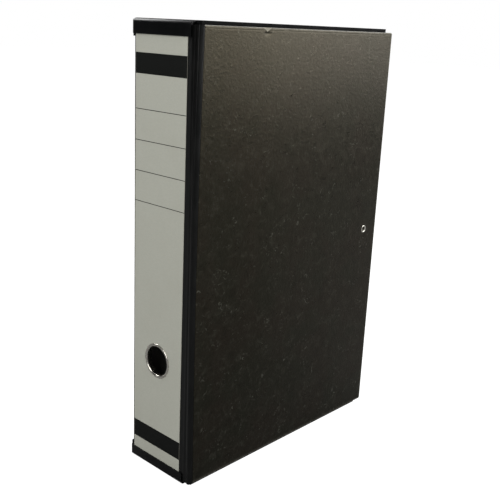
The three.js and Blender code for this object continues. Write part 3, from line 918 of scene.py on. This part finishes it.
lid_cover()
base_cover()
hinge_wrap()
finger_ring()
eyelet()
end_cover("lower_end_cover", "lower_end_cover_folded")
end_cover("upper_end_cover", "upper_end_cover_folded")
small_parts()
springs()
for node in ("spine_board", "spine_label", "lower_end_board", "upper_end_board", "fore_edge_board"):
    for slot in frame["nodes"][node].material_slots:
        slot.material = PAINTS[SLOT_OF[node]]


# Studio


# Brightness of the floor and the surroundings, and the side from which metal looks bright
FLOOR_HALF = 8
FLOOR_GREY = 0.22
FLOOR_GLOW = 0.98
FILL_GREY = 0.23
BRIGHT_SIDE = (0.75, -0.66, 0)


def soft_box(name, direction, distance, size, radiance, aim=(118, 37, 185)):
    """A square soft light that shines from a direction on a point of the case.

    distance and size are in metres, and aim is in the case's millimetres.
    """
    lamp = bpy.data.lights.new(name, "AREA")
    lamp.shape = "SQUARE"
    lamp.size = size
    lamp.energy = radiance * math.pi * size ** 2
    holder = bpy.data.objects.new(name, lamp)
    bpy.context.scene.collection.objects.link(holder)
    away = Vector(direction).normalized()
    holder.location = at(*aim) + away * distance
    holder.rotation_euler = away.to_track_quat("Z", "Y").to_euler()


def floor():
    """A floor that shows white, and takes the object's shadow."""
    signs = ((-1, -1), (1, -1), (1, 1), (-1, 1))
    corners = [(a * FLOOR_HALF, b * FLOOR_HALF, 0) for a, b in signs]
    mesh = bpy.data.meshes.new("floor")
    mesh.from_pydata(corners, [], [(0, 1, 2, 3)])
    ground = bpy.data.objects.new("floor", mesh)
    bpy.context.scene.collection.objects.link(ground)
    material = bpy.data.materials.new("floor")
    material.use_nodes = True
    tree = material.node_tree
    tree.nodes.clear()
    seen = add(tree, "LightPath").outputs["Is Camera Ray"]
    matt = add(tree, "BsdfDiffuse", {"Color": colour(FLOOR_GREY, FLOOR_GREY, FLOOR_GREY)})
    shine = calc(tree, "MULTIPLY", seen, FLOOR_GLOW)
    glow = add(tree, "Emission", {"Color": colour(1, 1, 1), "Strength": shine})
    both = add(tree, "AddShader", {0: matt.outputs[0], 1: glow.outputs[0]})
    out = add(tree, "OutputMaterial")
    tree.links.new(both.outputs[0], out.inputs[0])
    mesh.materials.append(material)


def surround():
    """White where the camera sees it, and elsewhere a quiet fill.

    What shows in metal and sheen is bright towards the lid's side and dark towards the spine's,
    as in the photograph.
    """
    world = bpy.data.worlds.new("studio")
    bpy.context.scene.world = world
    world.use_nodes = True
    tree = world.node_tree
    tree.nodes.clear()
    path = add(tree, "LightPath")
    direction = add(tree, "TexCoord").outputs["Generated"]
    towards = Vector(BRIGHT_SIDE).normalized()
    facing = add(tree, "VectorMath", {0: direction, 1: towards}, operation="DOT_PRODUCT")
    reflected = ramp(tree, facing.outputs["Value"], -0.2, 0.9, 0.02, 0.5)
    mirrored = calc(tree, "MAXIMUM", path.outputs["Is Glossy Ray"], path.outputs["Is Transmission Ray"])
    unseen = mix(tree, mirrored, colour(FILL_GREY, FILL_GREY, FILL_GREY), reflected)
    shown = mix(tree, path.outputs["Is Camera Ray"], unseen, colour(1, 1, 1))
    glow = add(tree, "Background", {"Color": shown, "Strength": 1.0})
    out = add(tree, "OutputWorld")
    tree.links.new(glow.outputs[0], out.inputs[0])


# Camera, fitted to the corners of the box in the photograph
FOCAL_PIXELS = 782.9
FRAME_PIXELS = 500
SENSOR = 36
AZIMUTH = 47.16
ELEVATION = 16.05
ROLL = -2.64
EYE = (-388.9, -417.1, 371.6)


def camera():
    data = bpy.data.cameras.new("camera")
    data.sensor_width = SENSOR
    data.lens = FOCAL_PIXELS * SENSOR / FRAME_PIXELS
    data.clip_start = 0.01
    data.clip_end = 100
    holder = bpy.data.objects.new("camera", data)
    bpy.context.scene.collection.objects.link(holder)
    azimuth, elevation, roll = (math.radians(v) for v in (AZIMUTH, ELEVATION, ROLL))
    forward = Vector((
        math.sin(azimuth) * math.cos(elevation),
        math.cos(azimuth) * math.cos(elevation),
        -math.sin(elevation),
    ))
    level = Vector((math.cos(azimuth), -math.sin(azimuth), 0))
    down = forward.cross(level)
    right = level * math.cos(roll) + down * math.sin(roll)
    up = level * math.sin(roll) - down * math.cos(roll)
    turn = Matrix((right, up, -forward)).transposed()
    holder.matrix_world = Matrix.Translation(at(*EYE)) @ turn.to_4x4()
    bpy.context.scene.camera = holder


soft_box("left_box", (-0.97, -0.22, 0.42), 1.5, 0.9, 5.8, aim=(118, 37, 230))
soft_box("right_box", (0.65, -0.70, 0.355), 1.4, 0.85, 6.6)
soft_box("top_box", (0.67, 0.16, 0.72), 1.4, 0.9, 3.8)
soft_box("back_box", (-0.12, 0.78, 0.62), 1.4, 0.7, 8.0)
floor()
surround()
camera()
bpy.context.scene.view_settings.view_transform = "Standard"
